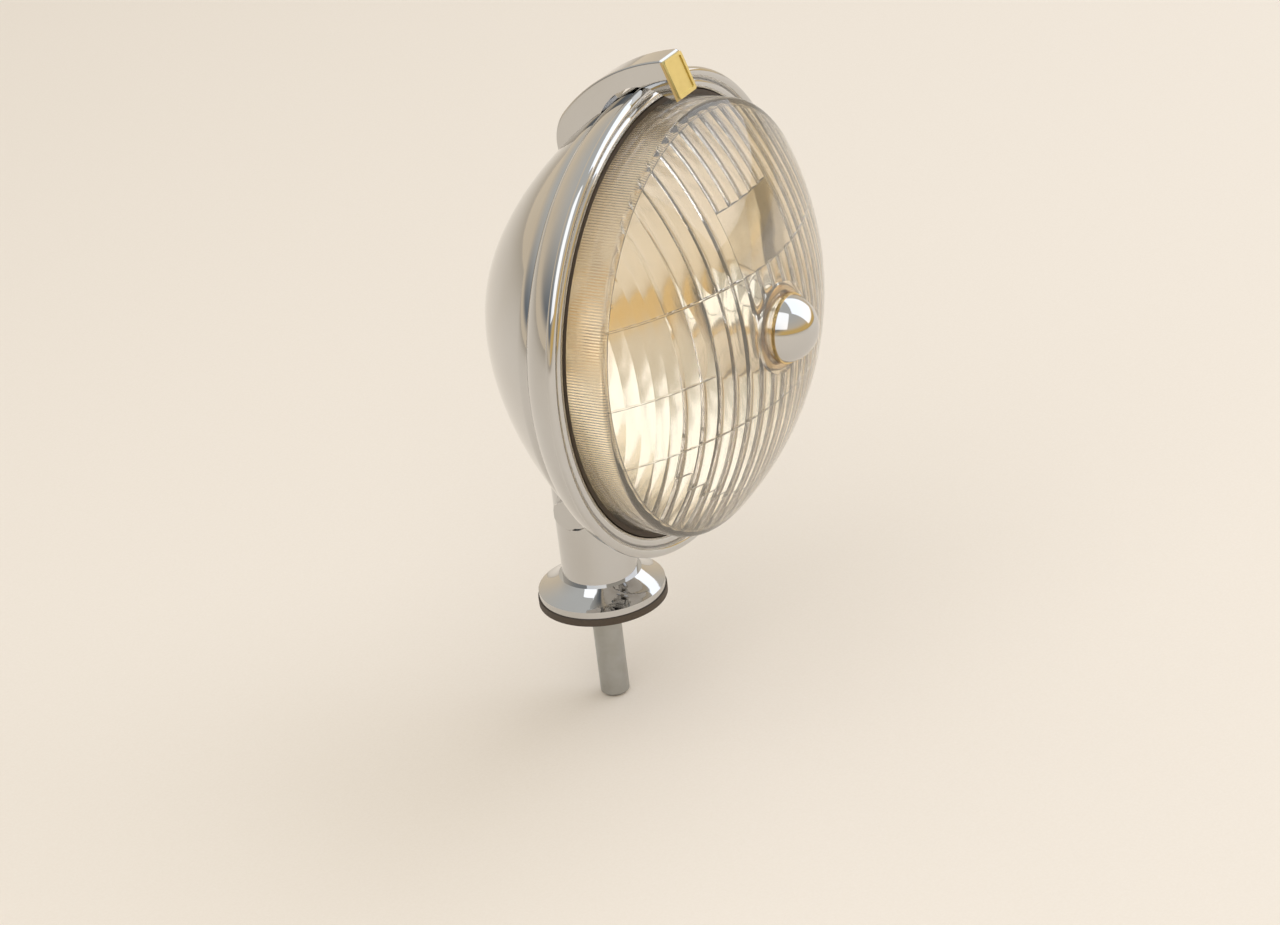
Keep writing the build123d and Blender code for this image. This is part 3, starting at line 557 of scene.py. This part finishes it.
# %% Floor
FLOOR_HALF = 6.0  # m
FLOOR_GAP = 0.0003  # m, below the stud's end
PAPER_FIBRE = 1 / 900  # m


def make_floor():
    stud_low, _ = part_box("mounting_stud")
    z = stud_low.z - FLOOR_GAP
    corners = [(-FLOOR_HALF, -FLOOR_HALF, z), (FLOOR_HALF, -FLOOR_HALF, z),
               (FLOOR_HALF, FLOOR_HALF, z), (-FLOOR_HALF, FLOOR_HALF, z)]
    mesh = bpy.data.meshes.new("studio_floor")
    mesh.from_pydata(corners, [], [(0, 1, 2, 3)])
    floor = bpy.data.objects.new("studio_floor", mesh)
    bpy.context.scene.collection.objects.link(floor)
    material, tree, shader = start_material("floor_paper", Roughness=0.9, Specular_IOR_Level=0.1)
    place = add(tree, "TexCoord").outputs["Object"]
    fibre = add(tree, "TexNoise", {"Scale": 1 / PAPER_FIBRE, "Detail": 2.0}, {"Vector": place})
    tint = add(tree, "Mix", {"data_type": "RGBA", 6: linear("f4eadd"), 7: linear("efe4d5")},
               {0: fibre.outputs["Fac"]})
    tree.links.new(tint.outputs[2], shader.inputs["Base Color"])
    mesh.materials.append(material)
    print("floor at", z)


make_floor()

# %% [markdown]
# Chrome and glass show their surroundings and little else, so the studio is part of the finish. The
# world is a room in a few smooth tones: cream walls, a cool grey above them at the picture's left,
# a pale ceiling and a golden glow low in front, which the flutes break into warm streaks. Close to
# the horizon the walls stay pale, so that the lamp stands before a light ground from every side.

# %% World
COOL_AZIMUTH = 62  # degrees from +Y towards -X
GLOW_AZIMUTH = 180  # where the lamp points
WORLD_STRENGTH = 0.82


def rise(tree, value, low, high):
    """0 to 1 as a value goes smoothly from low to high."""
    settings = {"From Min": low, "From Max": high, "interpolation_type": "SMOOTHSTEP"}
    return add(tree, "MapRange", settings, {"Value": value}).outputs[0]


def toward(tree, direction, azimuth, low, high):
    """0 to 1 as the view direction nears an azimuth, counted from +Y towards -X."""
    aim = (-math.sin(math.radians(azimuth)), math.cos(math.radians(azimuth)), 0.0)
    dot = add(tree, "VectorMath", {"operation": "DOT_PRODUCT", 1: aim}, {0: direction})
    return rise(tree, dot.outputs["Value"], low, high)


def blend(tree, share, first, second):
    """One colour over another by a share. Each may be a socket or a hex colour."""
    mix = add(tree, "Mix", {"data_type": "RGBA"}, {0: share})
    for number, colour in ((6, first), (7, second)):
        if isinstance(colour, str):
            mix.inputs[number].default_value = linear(colour)
        else:
            tree.links.new(colour, mix.inputs[number])
    return mix.outputs[2]


def make_world():
    world = bpy.data.worlds.new("studio")
    world.use_nodes = True
    tree = world.node_tree
    tree.nodes.clear()
    place = add(tree, "TexCoord").outputs["Generated"]
    axes = add(tree, "SeparateXYZ", None, {0: place})
    up = rise(tree, axes.outputs["Z"], 0.05, 0.85)
    raised = rise(tree, axes.outputs["Z"], 0.04, 0.2)
    left = toward(tree, place, COOL_AZIMUTH, 0.3, 0.95)
    cool = add(tree, "Math", {"operation": "MULTIPLY"}, {0: raised, 1: left})
    walls = blend(tree, cool.outputs[0], "fdebd0", "737c86")
    room = blend(tree, up, walls, "e6e6e2")
    glow = rise(tree, axes.outputs["Z"], 0.32, 0.12)
    front = toward(tree, place, GLOW_AZIMUTH, -0.1, 0.5)
    golden = add(tree, "Math", {"operation": "MULTIPLY"}, {0: glow, 1: front})
    colour = blend(tree, golden.outputs[0], room, "ffd88c")
    surface = add(tree, "Background", {"Strength": WORLD_STRENGTH}, {"Color": colour})
    add(tree, "OutputWorld", None, {"Surface": surface.outputs[0]})
    bpy.context.scene.world = world
    print("world", len(tree.nodes), "nodes")


make_world()

# %% [markdown]
# Two soft boxes shape the metal, named as the picture shows them. One high on the left draws the
# long highlight on shell and rim. A broad one high on the right in front stands where the
# reflector's lower half mirrors it, so the flutes there fill with pale light, as they do when a
# lamp faces an open sky.

# %% Lamps
def soft_box(name, place, size, power, colour):
    """A square area lamp that faces the lamp's centre."""
    light = bpy.data.lights.new(name, "AREA")
    light.size = size
    light.energy = power
    light.color = linear(colour)[:3]
    box = bpy.data.objects.new(name, light)
    bpy.context.scene.collection.objects.link(box)
    box.location = place
    box.rotation_mode = "QUATERNION"
    box.rotation_quaternion = (LAMP_CENTRE - Vector(place)).to_track_quat("-Z", "Y")
    print(name, size, "m across,", power, "W")


soft_box("key_box", (-1.4, -0.4, 1.6), 2.2, 18.0, "f2f5fb")
soft_box("front_box", (1.7, -1.3, 1.8), 3.2, 42.0, "e3edff")

# %% [markdown]
# The camera stands where the photographer stood: to the right of the lamp as its driver sees it, a
# little above, with a long lens. The distance and the angles were worked out from the rim's
# ellipse.

# %% Camera
VIEW_AZIMUTH = math.radians(-57.8957)
VIEW_ELEVATION = math.radians(26.055)
VIEW_ROLL = math.radians(-6.8328)
VIEW_DISTANCE = 1.308  # m
VIEW_RIGHT, VIEW_UP = 0.01441, 0.05711  # lamp centre's place beside the lens's axis
FOCAL_MM = 95.625
SENSOR_MM = 36.0
NEAREST = 0.01  # m


def make_camera():
    level = math.cos(VIEW_ELEVATION)
    sine, cosine = math.sin(VIEW_AZIMUTH), math.cos(VIEW_AZIMUTH)
    ahead = Vector((-sine * level, cosine * level, -math.sin(VIEW_ELEVATION)))
    flat_right = Vector((cosine, sine, 0))
    flat_up = flat_right.cross(ahead)
    right = math.cos(VIEW_ROLL) * flat_right + math.sin(VIEW_ROLL) * flat_up
    up = -math.sin(VIEW_ROLL) * flat_right + math.cos(VIEW_ROLL) * flat_up
    lens = bpy.data.cameras.new("view_camera")
    lens.lens, lens.sensor_width, lens.clip_start = FOCAL_MM, SENSOR_MM, NEAREST
    camera = bpy.data.objects.new("view_camera", lens)
    bpy.context.scene.collection.objects.link(camera)
    turn = Matrix((right, up, -ahead)).transposed().to_4x4()
    place = LAMP_CENTRE - VIEW_RIGHT * right - VIEW_UP * up - VIEW_DISTANCE * ahead
    camera.matrix_world = Matrix.Translation(place) @ turn
    bpy.context.scene.camera = camera
    print("camera at", list(place))


make_camera()
bpy.context.scene.view_settings.view_transform = "Standard"
